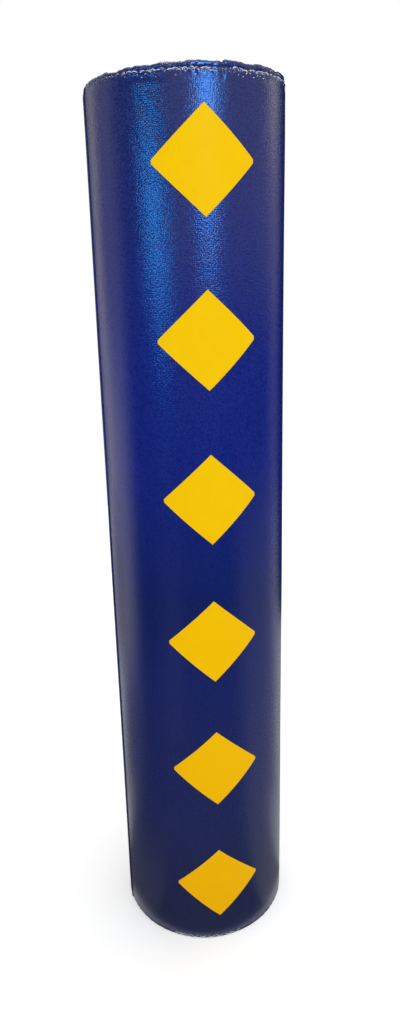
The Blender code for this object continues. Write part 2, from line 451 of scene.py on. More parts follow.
def coated_polyester(name, coat, dull):
    """PVC-coated polyester: a tough glossy film over a grid of yarns. Each crossing stands out as a
    small bump, so a lamp's reflection breaks up into fine dots. Real yarns of this cloth lie about
    2.8 mm apart. They are drawn 3.2 mm apart, because finer ones don't show at this distance. Painted
    shade darkens the film between the crossings. Where the film is drawn tight over the rims it is
    polished, which the coat gives. A little dust and a painted reflection haze grey its upper end.
    Towards its foot it darkens and greys, from damp and from painted shade and a painted reflection
    of the floor, and it dulls there. Inside and on the ends, where nothing rubs it, it is dull."""
    material, tree = new_material(name)
    height, foot = near_foot(tree)
    flat, across, up = on_cloth(tree)

    # The yarns waver by up to a millimetre, and the bump at each crossing is uneven.
    waver = add(tree, "TexNoise", {"Vector": flat, "Scale": 120.0, "Detail": 2.0})
    across = add(tree, "Math", {0: waver, 1: 0.9 * MM, 2: across}, operation="MULTIPLY_ADD")
    up = add(tree, "Math", {0: waver, 1: 0.9 * MM, 2: up}, operation="MULTIPLY_ADD")
    grid = add(tree, "Math", {0: yarn_grid(tree, across, up), 1: 0.8}, operation="POWER")
    grid = add(tree, "Math", {0: grid, 1: 0.5}, operation="MULTIPLY")
    spots = {"Vector": flat, "Scale": 1 / SCRIM_PITCH, "Randomness": 0.85}
    from_spot = add(tree, "TexVoronoi", spots)
    bumps = add(tree, "Math", {0: from_spot, 1: -2.3, 2: grid}, operation="MULTIPLY_ADD")
    uneven = add(tree, "TexNoise", {"Vector": flat, "Scale": 450.0, "Detail": 2.0})
    relief = add(tree, "Math", {0: uneven, 1: 0.8, 2: bumps}, operation="MULTIPLY_ADD")
    bump = {"Height": relief, "Distance": 0.13 * MM, "Strength": 1.0 - 0.6 * dull}

    # Pigment, then dust with a painted reflection haze, then damp with painted shade and a painted
    # floor reflection, then painted shade between the crossings, which the damp half hides.
    patches = add(tree, "TexNoise", {"Vector": flat, "Scale": 9.0, "Detail": 5.0})
    # Dust and a painted reflection haze grey the upper end.
    rising = {"Value": height, "From Min": 1.3, "From Max": 1.75, "To Max": 0.38 * (1 - dull)}
    # Damp, painted shade and a painted reflection of the floor darken and grey the foot.
    damp_and_shade = add(tree, "MapRange", {"Value": height, "From Min": 1.12, "From Max": 0.8})
    damp_and_shade_colour = add(tree, "ValToRGB", {"Fac": height})
    stops = damp_and_shade_colour.color_ramp.elements
    stops[0].position, stops[0].color = 0.05, linear("262E53")
    stops[1].position, stops[1].color = 0.85, linear("042066")
    for level, shade in ((0.3, "222D62"), (0.65, "15266D")):
        stops.new(level).color = linear(shade)
    # Painted shade in the valleys between the crossings, which the damp half hides.
    low = add(tree, "MapRange", {"Value": relief, "From Min": 0.5, "From Max": -1.1})
    shown = add(tree, "Math", {0: damp_and_shade, 1: -0.5, 2: 1.0}, operation="MULTIPLY_ADD")
    valley_shade = add(tree, "Math", {0: low, 1: shown}, operation="MULTIPLY")
    colour = linear("032787")
    for share, shade, way in (
        (patches, linear("052D93"), "MIX"),
        (add(tree, "MapRange", rising), linear("3F4738"), "MIX"),
        (damp_and_shade, damp_and_shade_colour, "MIX"),
        (valley_shade, linear("9898DC"), "MULTIPLY"),
    ):
        layer = {"Factor": share, "A": colour, "B": shade}
        colour = add(tree, "Mix", layer, data_type="RGBA", blend_type=way)

    film = {"Value": uneven, "To Min": 0.17 + 0.24 * dull, "To Max": 0.27 + 0.24 * dull}
    worn = add(tree, "Math", {0: foot, 1: 1.4}, operation="POWER")
    rough = {0: worn, 1: 0.1, 2: add(tree, "MapRange", film)}
    coated = {
        "Base Color": colour,
        "Roughness": add(tree, "Math", rough, operation="MULTIPLY_ADD"),
        "IOR": 1.5,
        "Specular IOR Level": 0.6,
        "Coat Weight": coat,
        "Coat Roughness": 0.09,
        "Normal": add(tree, "Bump", bump),
    }
    add(tree, "OutputMaterial", {"Surface": add(tree, "BsdfPrincipled", coated)})
    return material


cover_material = coated_polyester("coated_polyester", 0.0, 0.0)
hem_material = coated_polyester("coated_polyester_rim", 0.45, 0.0)


def sheet_piece(name, points, cloth, thickness, *materials):
    """A piece of cloth on a grid of points, given its thickness inwards from the outer face."""
    piece = new_piece(name, points, grid_quads(*points.shape[:2]), *materials, cloth=cloth)
    solid = piece.modifiers.new("thickness", "SOLIDIFY")
    solid.thickness = thickness
    solid.offset = -1
    solid.use_even_offset = False
    return piece


def cover_panel(name, azimuths, moved_out):
    """One panel of the cover between its first and last azimuth. moved_out raises each column, by
    the layers beneath it."""
    along = OUTLINE_LENGTH[:, None]
    points = cover_surface(azimuths, along, moved_out)
    cloth = as_points(azimuths * PAD_RADIUS, along)
    panel = sheet_piece(name, points, cloth, SKIN, cover_material, hem_material)
    rows = np.repeat(OUTLINE_Z[:-1] > PAD_TOP - 1.5 * CREASE, len(azimuths) - 1)
    panel.data.polygons.foreach_set("material_index", rows.astype(np.int32))
    return panel


LAP_EDGE = math.radians(82.5)
FRONT_EDGE = math.radians(87)
COLUMN_STEP = 2 * MM
SLIT_TURN = 3 * MM

front_azimuths = azimuths_of(-FRONT_EDGE, FRONT_EDGE, PAD_RADIUS, COLUMN_STEP)
front_panel = cover_panel("front_panel", front_azimuths, np.zeros_like(front_azimuths))
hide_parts("front_skin")
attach(front_panel, "front_segment")


LAP_STEP = 1.2 * MM
WELT_HEIGHT = 0.7 * MM
WELT_EDGE = 0.5 * MM


def side_lift(azimuth):
    """How far a side panel stands out: it steps over the edge of the front panel, with a slight
    welt at its folded edge, and turns in with a round at the slit."""
    arc = np.abs(azimuth) * PAD_RADIUS
    from_edge = arc - LAP_EDGE * PAD_RADIUS
    past_front = arc - FRONT_EDGE * PAD_RADIUS
    lap = LAP_STEP * (1 - smooth_step(past_front, 0, 6 * MM))
    welt = WELT_HEIGHT * bell(from_edge, 2.2 * MM, 2 * MM)
    welt = welt - WELT_EDGE * bell(from_edge, 0, 0.8 * MM)
    short = np.clip(SLIT_TURN - (BACK * PAD_RADIUS - SLIT_GAP - arc), 0, SLIT_TURN)
    return lap + welt - (SLIT_TURN - np.sqrt(SLIT_TURN**2 - short**2))


def hinge_blend(piece):
    """Bakes a side piece's placing into its mesh."""
    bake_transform(piece)


slit_edge = BACK - SLIT_GAP / PAD_RADIUS
for side, sign in (("left", -1), ("right", 1)):
    azimuths = np.sort(sign * azimuths_of(LAP_EDGE, slit_edge, PAD_RADIUS, COLUMN_STEP))
    panel = cover_panel(f"{side}_panel", azimuths, side_lift(azimuths))
    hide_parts(f"{side}_skin")
    hinge_blend(panel)

# Seams
# A pale polyester cord in both rims paints their glints, showing where the folds part.
# Royal blue bonded thread holds the laps between the panels in two rows of lockstitch.

BLUE_THREAD = 0.45 * MM
PALE_CORD = 0.6 * MM
CORD_SIDES = 6
STITCH_PITCH = 5 * MM
STITCH_RINGS = np.array([-1, -0.6, 0, 0.6, 1])
STITCH_SIDES = 5


def polyester_thread(name, colour, shade):
    """Bonded polyester sewing thread: three smooth strands twisted together, about 1.2 mm a turn,
    with a satin gleam. The twist shows as slanting bands of a lighter and a darker tone; the darker
    tone lies in the grooves of the bump and is painted shade."""
    material, tree = new_material(name)
    place = add(tree, "TexCoord").outputs["Object"]
    # A wave texture shows 20 bands to a unit at a scale of 1.
    bands = {"Vector": place, "Scale": 1 / (1.2 * MM) / 20, "Distortion": 1.0}
    twist = add(tree, "TexWave", bands, bands_direction="DIAGONAL")
    # The darker tone in the twist's grooves is painted shade.
    twist_shade = {"Factor": twist, "A": linear(shade), "B": linear(colour)}
    bonded = {
        "Base Color": add(tree, "Mix", twist_shade, data_type="RGBA"),
        "Roughness": 0.4,
        "Sheen Weight": 0.2,
        "Normal": add(tree, "Bump", {"Height": twist, "Distance": 0.1 * MM, "Strength": 0.6}),
    }
    add(tree, "OutputMaterial", {"Surface": add(tree, "BsdfPrincipled", bonded)})
    return material


def unit(vectors):
    """Vectors brought to a length of 1."""
    return vectors / np.linalg.norm(vectors, axis=-1, keepdims=True)


def ring_quads(index):
    """The quads of tubes, from the numbers of their points, ring by ring."""
    around = np.concatenate([index, index[..., :1]], axis=-1)
    corners = (around[..., :-1, :-1], around[..., 1:, :-1], around[..., 1:, 1:], around[..., :-1, 1:])
    return np.stack(corners, axis=-1).reshape(-1, 4)


def stitch_mesh(rows):
    """Lockstitches as points and faces. Each row is needle holes and their outward directions. A
    stitch is a bead from near one hole to near the next, whose centre line is a parabola that rises
    out of the cloth and dips at both ends, with a round section that thins at the ends."""
    shapes = []
    for holes, outward in rows:
        step = holes[1:] - holes[:-1]
        middle = (holes[1:] + holes[:-1]) / 2
        up = unit(outward[1:] + outward[:-1])
        side = unit(np.cross(step, up))
        t = STITCH_RINGS[None, :, None]
        rise = BLUE_THREAD * (0.8 - 1.9 * t**2)
        line = middle[:, None] + step[:, None] * t * 0.42 + up[:, None] * rise
        turn = np.linspace(0, 2 * math.pi, STITCH_SIDES, endpoint=False)[None, None, :, None]
        thickness = BLUE_THREAD * np.sqrt(1 - 0.7 * t**2)[..., None]
        ring = side[:, None, None] * np.cos(turn) + up[:, None, None] * np.sin(turn)
        shapes.append(line[:, :, None] + thickness * ring)
    points = np.concatenate(shapes)
    index = np.arange(points[..., 0].size).reshape(points.shape[:-1])
    ends = np.stack([index[:, 0], index[:, -1, ::-1]], axis=1).reshape(-1, STITCH_SIDES)
    return points.reshape(-1, 3), list(ring_quads(index)) + list(ends)


def thread_piece(name, mesh, material):
    """All the stitches or strands of one thread on one part, as a single piece."""
    piece = new_piece(name, *mesh, material)
    return piece


def cover_row(azimuth, along, lift):
    """A row of points on the cover at azimuths and lengths along the outline, with their outward
    directions, square to the small steps from each point to the right and up."""
    turn, climb = 0.003, 0.5 * MM
    right = cover_surface(azimuth + turn, along, lift) - cover_surface(azimuth - turn, along, lift)
    up = cover_surface(azimuth, along + climb, lift) - cover_surface(azimuth, along - climb, lift)
    return cover_surface(azimuth, along, lift), unit(np.cross(right, up))


def strand_mesh(strands):
    """Lengths of cord as points and faces. Each is a line on the cover, its outward directions and
    how deep it is sunk at each point, and becomes a round tube with closed ends."""
    points, faces, first = [], [], 0
    turn = np.linspace(0, 2 * math.pi, CORD_SIDES, endpoint=False)[None, :, None]
    for line, outward, sunk in strands:
        line = line + outward * (0.5 * PALE_CORD - sunk)[:, None]
        ahead = unit(np.gradient(line, axis=0))
        side = unit(np.cross(ahead, outward))
        up = np.cross(side, ahead)
        ring = side[:, None] * np.cos(turn) + up[:, None] * np.sin(turn)
        index = first + np.arange(len(line) * CORD_SIDES).reshape(len(line), CORD_SIDES)
        faces += list(ring_quads(index)) + [index[0], index[-1, ::-1]]
        points.append((line[:, None] + PALE_CORD * ring).reshape(-1, 3))
        first += index.size
    return np.concatenate(points), faces


# Strands of the pale cord that paints the rims' glints: the height, how far it wanders, the length
# of its dashes, the level of the ripple above which it shows, and the seed.
STRANDS = (
    (PAD_TOP - CREASE - 0.8 * MM, 1.0 * MM, 15 * MM, -0.2, 71),
    (PAD_TOP - CREASE - 1.8 * MM, 2.0 * MM, 11 * MM, 0.3, 72),
    (PAD_TOP - GATHER_LINE + 3 * MM, 3.5 * MM, 7 * MM, 0.75, 73),
    (FOOT_CREASE, 0.2 * MM, 22 * MM, 0.65, 74),
)


def rim_strands(first, last, lift_at):
    """The pale cord that paints the rims' glints, between two azimuths: two strands in the crease of
    the top rim, one at its gather line and one in the crease of the bottom rim. Each wanders up and
    down, and rises out of the folds only where a ripple is above a level, so that it shows in uneven
    dashes, as painted glints. It is hidden at the notch and where the rim is drawn in."""
    strands = []
    for height, wander, dash, level, seed in STRANDS:
        azimuth = azimuths_of(first, last, PAD_RADIUS, 1.5 * MM)
        along = length_at(height) + wander * ripple(azimuth, 26 * MM, seed + 10)
        sunk = 0.5 * MM + 1.6 * MM * (level - ripple(azimuth, dash, seed))
        hidden = bell(azimuth, DRAWN_IN, math.radians(40)) + bell(azimuth, NOTCH, math.radians(4))
        sunk = np.clip(sunk, -0.1 * MM, 3 * MM) + 2 * MM * hidden
        strands.append((*cover_row(azimuth, along, lift_at(azimuth)), sunk))
    return strands


def lap_rows(sign):
    """The two rows along a lap, 3.5 and 10 mm from the side panel's folded edge."""
    along = np.arange(length_at(12 * MM), length_at(PAD_TOP - 26 * MM), STITCH_PITCH)
    rows = []
    for from_edge in (3.5 * MM, 10 * MM):
        azimuth = sign * (LAP_EDGE + from_edge / PAD_RADIUS)
        rows.append(cover_row(azimuth, along, side_lift(azimuth)))
    return rows


# The pale cord is painted glints: it stands in for the bright glints along the rims.
pale_cord = polyester_thread("gathering_cord", "FBFAF6", "D8D5CE")
blue_thread = polyester_thread("bonded_thread_blue", "1B2C86", "101C62")

glint_strands = thread_piece(
    "front_gathering_cord",
    strand_mesh(rim_strands(-LAP_EDGE + 0.01, LAP_EDGE - 0.01, np.zeros_like)),
    pale_cord,
)
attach(glint_strands, "front_segment")
for side, sign in (("left", -1), ("right", 1)):
    ends = sorted((sign * (LAP_EDGE + 0.015), sign * (slit_edge - 0.03)))
    strands = strand_mesh(rim_strands(*ends, side_lift))
    glint_strands = thread_piece(f"{side}_gathering_cord", strands, pale_cord)
    hinge_blend(glint_strands)
    lap = thread_piece(f"{side}_lap_thread", stitch_mesh(lap_rows(sign)), blue_thread)
    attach(lap, "front_segment")

# Lining
# The same coated polyester inside the pad. One sheet for each part of the foam runs round the bore
# and is tucked out along the cuts at its two ends, where it is sewn to the cover.

inner_material = coated_polyester("coated_polyester_inner", 0.0, 1.0)
LINING_OUT = PAD_RADIUS - 4.5 * MM
LINING_END = 3 * MM


def lining_path(start, end, start_gap, end_gap):
    """The lining's line in plan, as points: in along one cut, round the bore, and out along the
    other cut. The foam presses the cuts nearly shut but for their rounded mouths, and a moving
    average rounds the lining's two corners."""
    walls = np.arange(LINING_OUT, BORE_RADIUS, -1.5 * MM)
    mouth = 1 - smooth_step(walls, BORE_RADIUS, BORE_RADIUS + 8 * MM)
    mouth = mouth + smooth_step(walls, LINING_OUT - 6 * MM, LINING_OUT)
    shut = 0.2 + 0.8 * mouth
    round_bore = azimuths_of(
        start + start_gap / BORE_RADIUS, end - end_gap / BORE_RADIUS, BORE_RADIUS, 1.5 * MM
    )
    radius = np.concatenate([walls, np.full_like(round_bore, BORE_RADIUS), walls[::-1]])
    azimuth = np.concatenate(
        [start + start_gap * shut / walls, round_bore, end - (end_gap * shut / walls)[::-1]]
    )
    plan = polar(radius, azimuth, 0)[:, :2]
    span = 2
    padded = np.vstack([plan[:1]] * span + [plan] + [plan[-1:]] * span)
    kernel = np.ones(2 * span + 1) / (2 * span + 1)
    evened = np.stack([np.convolve(line, kernel, "valid") for line in padded.T], axis=-1)
    evened[:span], evened[-span:] = plan[:span], plan[-span:]
    return evened


for part, (start, end, start_gap, end_gap, body) in PARTS.items():
    path = lining_path(start, end, start_gap, end_gap)
    length = np.concatenate([[0], np.cumsum(np.linalg.norm(np.diff(path, axis=0), axis=1))])
    heights = np.linspace(LINING_END, PAD_TOP - LINING_END, 60)[:, None]
    points = as_points(*path.T, heights)
    cloth = as_points(length, heights)
    sheet = sheet_piece(f"{part}_bore_lining", points[:, ::-1], cloth[:, ::-1], SKIN, inner_material)
    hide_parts(f"{part}_lining")
    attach(sheet, body)

# End caps
# Rings of coated polyester with a slit, sewn to the gathered rims and to the lining. The seam to
# the rim draws them into short folds, and their inner edges are turned down into the bore.

CAP_OUTER = PAD_RADIUS - 15.4 * MM
CAP_INNER = BORE_RADIUS - 0.4 * MM
CAP_THICKNESS = 1 * MM
BORE_TURN = 3 * MM
CUT_TURN = 2.5 * MM
CAP_SINK = 1.0 * MM
SEAM_DEPTH = 5.5 * MM
SEAM_WIDTH = 2.6 * MM
FOLD_REACH = 11 * MM

# The cloth that a cap's seams take up, across it.
SEAM_ALLOWANCE = 12 * MM


def cap_sink(radius, azimuth, to_cut):
    """How far the cap lies below the pad's end: it dips in the seam at the rim, with folds that
    fade inwards, and turns down with a round at the bore and at the cuts."""
    seam = CAP_OUTER - radius
    sink = CAP_SINK + SEAM_DEPTH * np.exp(-((seam / SEAM_WIDTH) ** 1.5))
    folds = pucker(azimuth, 15 * MM, 41) * 0.6 * MM + ripple(azimuth, 9 * MM, 43) * 0.25 * MM
    sink = sink - folds * np.exp(-seam / FOLD_REACH) * smooth_step(seam, 0, 3 * MM)
    sink = sink + 0.5 * MM * (1 - np.sin(np.clip(seam / (CAP_OUTER - CAP_INNER), 0, 1) * math.pi))
    for distance, turn in ((radius - CAP_INNER, BORE_TURN), (to_cut, CUT_TURN)):
        short = np.clip(turn - distance, 0, turn)
        sink = sink + turn - np.sqrt(turn**2 - short**2)
    return sink


def cap_grid(start, end, start_gap, end_gap):
    """Radius, azimuth and distance to the nearer cut over the cap. Its rows run from the rim to the
    bore, and its columns lie closer together near the cuts."""
    radius = CAP_OUTER - (CAP_OUTER - CAP_INNER) * np.linspace(0, 1, 62)[:, None] ** 1.25
    count = round((end - start) * PAD_RADIUS / (2.4 * MM))
    share = np.linspace(0, 1, count)
    share = share - 0.6 * np.sin(4 * math.pi * share) / (4 * math.pi)
    first = start + start_gap / radius
    last = end - end_gap / radius
    azimuth = first + (last - first) * share
    return radius, azimuth, np.minimum(azimuth - first, last - azimuth) * radius


for part, (start, end, start_gap, end_gap, body) in PARTS.items():
    radius, azimuth, to_cut = cap_grid(start, end, start_gap, end_gap)
    sink = cap_sink(radius, azimuth, to_cut)
    cloth = polar(radius, azimuth, 0)[..., :2]
    across = np.ptp(cloth, axis=(0, 1)) + SEAM_ALLOWANCE
    for place, height, way in (("top", PAD_TOP - sink, 1), ("bottom", 0.5 * sink, -1)):
        points = polar(radius, azimuth, height)[:, ::way]
        cap = sheet_piece(
            f"{part}_{place}_panel", points, cloth[:, ::way], CAP_THICKNESS, inner_material
        )
        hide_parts(f"{part}_{place}_cap")
        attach(cap, body)

# Decals
# Six lozenges of yellow heat-applied vinyl, 0.3 mm thick, cut by a plotter and pressed onto the
# front panel. The cloth's ribs print through them faintly.

DECAL_LIFT = 0.12 * MM
DECAL_THICKNESS = 0.3 * MM
DECAL_TIP = 3 * MM
DECALS = sorted(name for name in frame["nodes"] if name.startswith("decal_"))


def cut_vinyl():
    """Heat-applied vinyl: a smooth satin film in golden yellow, with the yarns beneath it showing
    as shallow ribs, a little unevenness in the pigment, and painted shade that darkens its foot."""
    material, tree = new_material("cut_vinyl")
    flat, across, up = on_cloth(tree)
    patches = add(tree, "TexNoise", {"Vector": flat, "Scale": 25.0, "Detail": 4.0})
    yellows = {"Factor": patches, "A": linear("FFD000"), "B": linear("FAC800")}
    colour = add(tree, "Mix", yellows, data_type="RGBA")
    # The foot is painted darker: painted shade.
    shaded_foot = {"Factor": near_foot(tree)[1], "A": colour, "B": linear("F8B800")}
    film = {
        "Base Color": add(tree, "Mix", shaded_foot, data_type="RGBA"),
        "Roughness": 0.5,
        "Specular IOR Level": 0.1,
        "Specular Tint": linear("FFE08A"),
        "Normal": add(tree, "Bump", {"Height": yarn_grid(tree, across, up), "Distance": 0.06 * MM}),
    }
    add(tree, "OutputMaterial", {"Surface": add(tree, "BsdfPrincipled", film)})
    return material


decal_material = cut_vinyl()
for node in DECALS:
    low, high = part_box(node)
    half_turn = math.asin(high.x / PAD_RADIUS)
    half_height = (high.z - low.z) / 2
    centre = (high.z + low.z) / 2
    across = np.linspace(-1, 1, 81)
    up = np.linspace(-1, 1, 61)[:, None]
    reach = DECAL_TIP + (half_height - DECAL_TIP) * (1 - np.abs(across))
    azimuth = across * half_turn
    height = centre + up * reach
    along = length_at(height)
    points = cover_surface(azimuth, along, DECAL_LIFT + DECAL_THICKNESS)
    cloth = as_points(azimuth * PAD_RADIUS, along)
    film = sheet_piece(node + "_film", points, cloth, DECAL_THICKNESS, decal_material)
    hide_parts(node)
    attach(film, "front_segment")

# Closure
# A flap of coated polyester covers the slit at the back. Its folded hem is sewn to the left panel,
# and hook tape under it grips loop tape on the right panel.

flap_hinge = Vector(JOINTS["flap_open"]["pos_m"])
flap_low, flap_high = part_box("closure_flap")
HEM_WIDTH = 16 * MM
HEM_THICKNESS = 2.2 * MM
FLAP_THICKNESS = 1 * MM
TAPE_NEAR = 9 * MM
TAPE_WIDTH = 50 * MM
TAPE_THICKNESS = 0.8 * MM

# How far the outer face of each layer stands out from the wall, from the loop tape to the flap.
LOOP_LIFT = 1.1 * MM
HOOK_LIFT = 2.2 * MM
HEM_LIFT = 2.6 * MM
FLAP_LIFT = 3.5 * MM
FLAP_HINGE_ARC = flap_hinge.x
FLAP_REACH = math.asin(flap_high.x / (PAD_RADIUS + FLAP_LIFT)) * PAD_RADIUS


def back_surface(arc, z, lift):
    """Points at an arc past the slit, towards +X, raised by a lift above the cover's wall."""
    return polar(PAD_RADIUS + lift, BACK - arc / PAD_RADIUS, z)


def back_strip(name, near, far, ends, lift_at, thickness, material):
    """An upright strip on the back between two arcs and the heights of its two ends, raised by
    lift_at(arc, z)."""
    low, high = ends
    arcs = np.linspace(far, near, round((far - near) / COLUMN_STEP) + 1)
    heights = np.linspace(low, high, round((high - low) / (10 * MM)))[:, None]
    arcs, heights = np.broadcast_arrays(arcs, heights)
    points = back_surface(arcs, heights, lift_at(arcs, heights))
    cloth = as_points(-arcs, heights)
    return sheet_piece(name, points, cloth, thickness, material)


def flap_lift(arc, z):
    """The flap runs from its hem over the two tapes past the slit, and droops a little to the wall
    at its free edge, with long shallow waves along it."""
    edge = smooth_step(arc, FLAP_REACH - 4 * MM, FLAP_REACH)
    wave = 0.35 * MM * np.sin(z * 31 + 0.8) + 0.25 * MM * np.sin(z * 53 + 2.0)
    return FLAP_LIFT - 1.2 * MM * edge + wave * smooth_step(arc, 0, FLAP_REACH)


flap_ends = (flap_low.z, flap_high.z)
flap = back_strip(
    "back_flap", FLAP_HINGE_ARC, FLAP_REACH, flap_ends, flap_lift, FLAP_THICKNESS, cover_material
)
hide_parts("closure_flap")
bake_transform(flap)


def hem_lift(arc, z):
    """The hem is level, and thins a little towards its sewn edge."""
    return HEM_LIFT - 0.9 * MM * bell(arc, HEM_EDGE_ARC, 3 * MM)


HEM_EDGE_ARC = FLAP_HINGE_ARC - HEM_WIDTH
hem = back_strip(
    "flap_sewn_hem", HEM_EDGE_ARC, FLAP_HINGE_ARC, flap_ends, hem_lift, HEM_THICKNESS, cover_material
)
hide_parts("flap_hem")
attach(hem, "left_wing")


def nylon_tape(name, pile_pitch, randomness):
    """Woven black nylon fastening tape. The hook side has rows of stiff hooks about 1.6 mm apart
    and the loop side a napped pile. Both are drawn coarser, so that they show: as a close relief
    whose raised tips are painted grey as a highlight, which ends at a flat woven selvedge along each
    edge."""
    material, tree = new_material(name)
    flat, across, _ = on_cloth(tree)
    offset = add(tree, "Math", {0: across, 1: TAPE_NEAR + TAPE_WIDTH / 2}, operation="ADD")
    from_middle = add(tree, "Math", {0: offset}, operation="ABSOLUTE")
    edge = TAPE_WIDTH / 2 - 2.8 * MM
    selvedge = {"Value": from_middle, "From Min": edge, "From Max": edge - 0.6 * MM}
    tufts = {"Vector": flat, "Scale": 1 / pile_pitch, "Randomness": randomness}
    from_tip = add(tree, "TexVoronoi", tufts)
    tips = {"Value": from_tip, "From Min": 0.6, "From Max": 0.15}
    napped = {0: add(tree, "MapRange", tips), 1: add(tree, "MapRange", selvedge)}
    pile = add(tree, "Math", napped, operation="MULTIPLY")
    # The raised tips are painted greyer: a painted highlight.
    tip_highlight = {"Factor": pile, "A": linear("08080A"), "B": linear("34343A")}
    woven = {
        "Base Color": add(tree, "Mix", tip_highlight, data_type="RGBA"),
        "Roughness": 0.6,
        "Specular IOR Level": 0.2,
        "Normal": add(tree, "Bump", {"Height": pile, "Distance": 0.7 * MM}),
    }
    add(tree, "OutputMaterial", {"Surface": add(tree, "BsdfPrincipled", woven)})
    return material


for name, node, body, backing, lift, pile_pitch, randomness in (
    ("hook_strip", "hook_tape", "closure_flap", "back_flap", HOOK_LIFT, 3.2 * MM, 0.15),
    ("loop_strip", "loop_tape", "right_wing", "right_panel", LOOP_LIFT, 2.4 * MM, 1.0),
):
    low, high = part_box(node)
    tape = back_strip(
        name,
        TAPE_NEAR,
        TAPE_NEAR + TAPE_WIDTH,
        (low.z, high.z),
        lambda arc, z, lift=lift: lift,
        TAPE_THICKNESS,
        nylon_tape("nylon_" + node, pile_pitch, randomness),
    )
    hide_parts(node)
    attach(tape, body)


def back_row(arcs, heights, lift_at):
    """A row of stitches on the back, through holes at these arcs past the slit and heights."""
    arcs, heights = np.broadcast_arrays(arcs, heights)
    holes = back_surface(arcs, heights, lift_at(arcs, heights))
    return holes, unit(holes * np.array([1.0, 1.0, 0.0]))


TAPE_ARCS = (TAPE_NEAR + 3.5 * MM, TAPE_NEAR + TAPE_WIDTH - 3.5 * MM)
tape_low, tape_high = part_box("hook_tape")
TAPE_ENDS = (tape_low.z + 4 * MM, tape_high.z - 4 * MM)
tape_heights = np.arange(*TAPE_ENDS, STITCH_PITCH)
hem_heights = np.arange(flap_low.z + 5 * MM, flap_high.z - 5 * MM, STITCH_PITCH)

flap_rows = [back_row(arc, tape_heights, flap_lift) for arc in TAPE_ARCS]
flap_rows += [back_row(np.arange(*TAPE_ARCS, STITCH_PITCH), z, flap_lift) for z in TAPE_ENDS]
loop_rows = [back_row(arc, tape_heights, lambda arc, z: LOOP_LIFT) for arc in TAPE_ARCS]
hem_rows = [
    back_row(FLAP_HINGE_ARC - from_fold, hem_heights, lambda arc, z: HEM_LIFT)
    for from_fold in (4 * MM, 11 * MM)
]
for name, rows, body in (
    ("flap_thread", flap_rows, "closure_flap"),
    ("hem_thread", hem_rows, "left_wing"),
    ("loop_tape_thread", loop_rows, "right_wing"),
):
    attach(thread_piece(name, stitch_mesh(rows), blue_thread), body)

# Studio
# A white floor, and an even white world that lights the colours. Lamps that only gloss shows stand
# for a window and tube lamps, and felts that only gloss shows stand for the room's walls and floor.

# The softbox lights the front pieces alone, so that it doesn't flare on the sides seen from behind.
front_pieces = bpy.data.collections.new("front_pieces")
for piece in bpy.data.objects:
    if piece.name.startswith(("front_", "decal_")):
        front_pieces.objects.link(piece)


def area_lamp(
    name, azimuth, distance, height, size, aim_height, radiance, colour="FFFFFF", lean=0.0, lit=None
):
    """A rectangular lamp at an azimuth about the pad, aimed at the pad's axis and leaned over in
    its own plane. Its power is its radiance times its area times pi. Only gloss shows it. It lights
    everything, or one collection alone."""
    lamp = bpy.data.lights.new(name, "AREA")
    lamp.color = linear(colour)[:3]
    lamp.shape = "RECTANGLE"
    lamp.size, lamp.size_y = size
    lamp.energy = radiance * size[0] * size[1] * math.pi
    piece = bpy.data.objects.new(name, lamp)
    place = Vector(polar(distance, math.radians(azimuth), height))
    aim = Vector((0, 0, aim_height)) - place
    piece.location = place
    turn = aim.to_track_quat("-Z", "Y") @ Quaternion((0, 0, 1), math.radians(lean))
    piece.rotation_euler = turn.to_euler()
    piece.visible_camera = False
    piece.visible_diffuse = False
    piece.light_linking.receiver_collection = lit
    bpy.context.scene.collection.objects.link(piece)


area_lamp("front_strip", 13.5, 2.3, 2.3, (0.55, 1.3), 1.75, 27.0, "4A9AFF")
area_lamp("front_softbox", -47, 2.4, 1.65, (1.1, 0.3), 1.6, 19.0, "38A8FF", -24, front_pieces)
area_lamp("right_strip", 106, 2.4, 2.5, (0.7, 1.2), 1.8, 1.2, "FFF2E0")
area_lamp("front_tube", -5, 1.3, 3.1, (1.5, 0.02), 1.8, 90.0)
area_lamp("overhead_tube", -100, 0.2, 3.0, (0.3, 0.3), 1.8, 18.0)
area_lamp("back_softbox", 180, 1.9, 2.6, (1.6, 1.2), 1.0, 1.6)

world = bpy.data.worlds.new("studio")
world.use_nodes = True
world.cycles.sampling_method = "NONE"
world.node_tree.nodes.clear()
background = add(world.node_tree, "Background", {"Color": linear("FFFFFF")})
add(world.node_tree, "OutputWorld", {"Surface": background})
bpy.context.scene.world = world

# The camera and the gloss see the floor's paint brighter than it is lit, so that it comes out white.
floor_material, tree = new_material("white_floor_paint")
path = add(tree, "LightPath").outputs
seen = path["Is Camera Ray"]
for ray in ("Is Glossy Ray", "Is Transmission Ray"):
    seen = add(tree, "Math", {0: seen, 1: path[ray]}, operation="MAXIMUM")
level = add(tree, "Math", {0: seen, 1: 0.36}, operation="MULTIPLY")
glow = add(tree, "Emission", {"Color": linear("FFFFFF"), "Strength": level})
paint = add(tree, "BsdfDiffuse", {"Color": linear("F4F4F4")})
both = add(tree, "AddShader", {0: paint, 1: glow})
add(tree, "OutputMaterial", {"Surface": both})

FLOOR_SIZE = 6.4
corners = np.array([(-1, -1, 0), (1, -1, 0), (1, 1, 0), (-1, 1, 0)]) * FLOOR_SIZE / 2
floor = new_piece("floor", corners, [(0, 1, 2, 3)], floor_material)
floor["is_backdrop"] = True

# Felts stand 3.2 m from the pad's axis, and the upper ones a little nearer, in front of the others.
# Those on the floor begin beside the pad and lie a few millimetres up, one over another.
FELT_DISTANCE = 3.2
UPPER_FELT_DISTANCE = 3.15
FELT_TOP = 5.0
PAD_SIDE = 0.2
NEAR_EDGE = 1.27


def standing(distance, low, high=FELT_TOP):
    """The section of a felt that stands at a distance, from one height to another."""
    return (distance, low), (distance, high)


def lying(near, far, level=3 * MM):
    """The section of a felt that lies on the floor, from one distance to another."""
    return (near, level), (far, level)


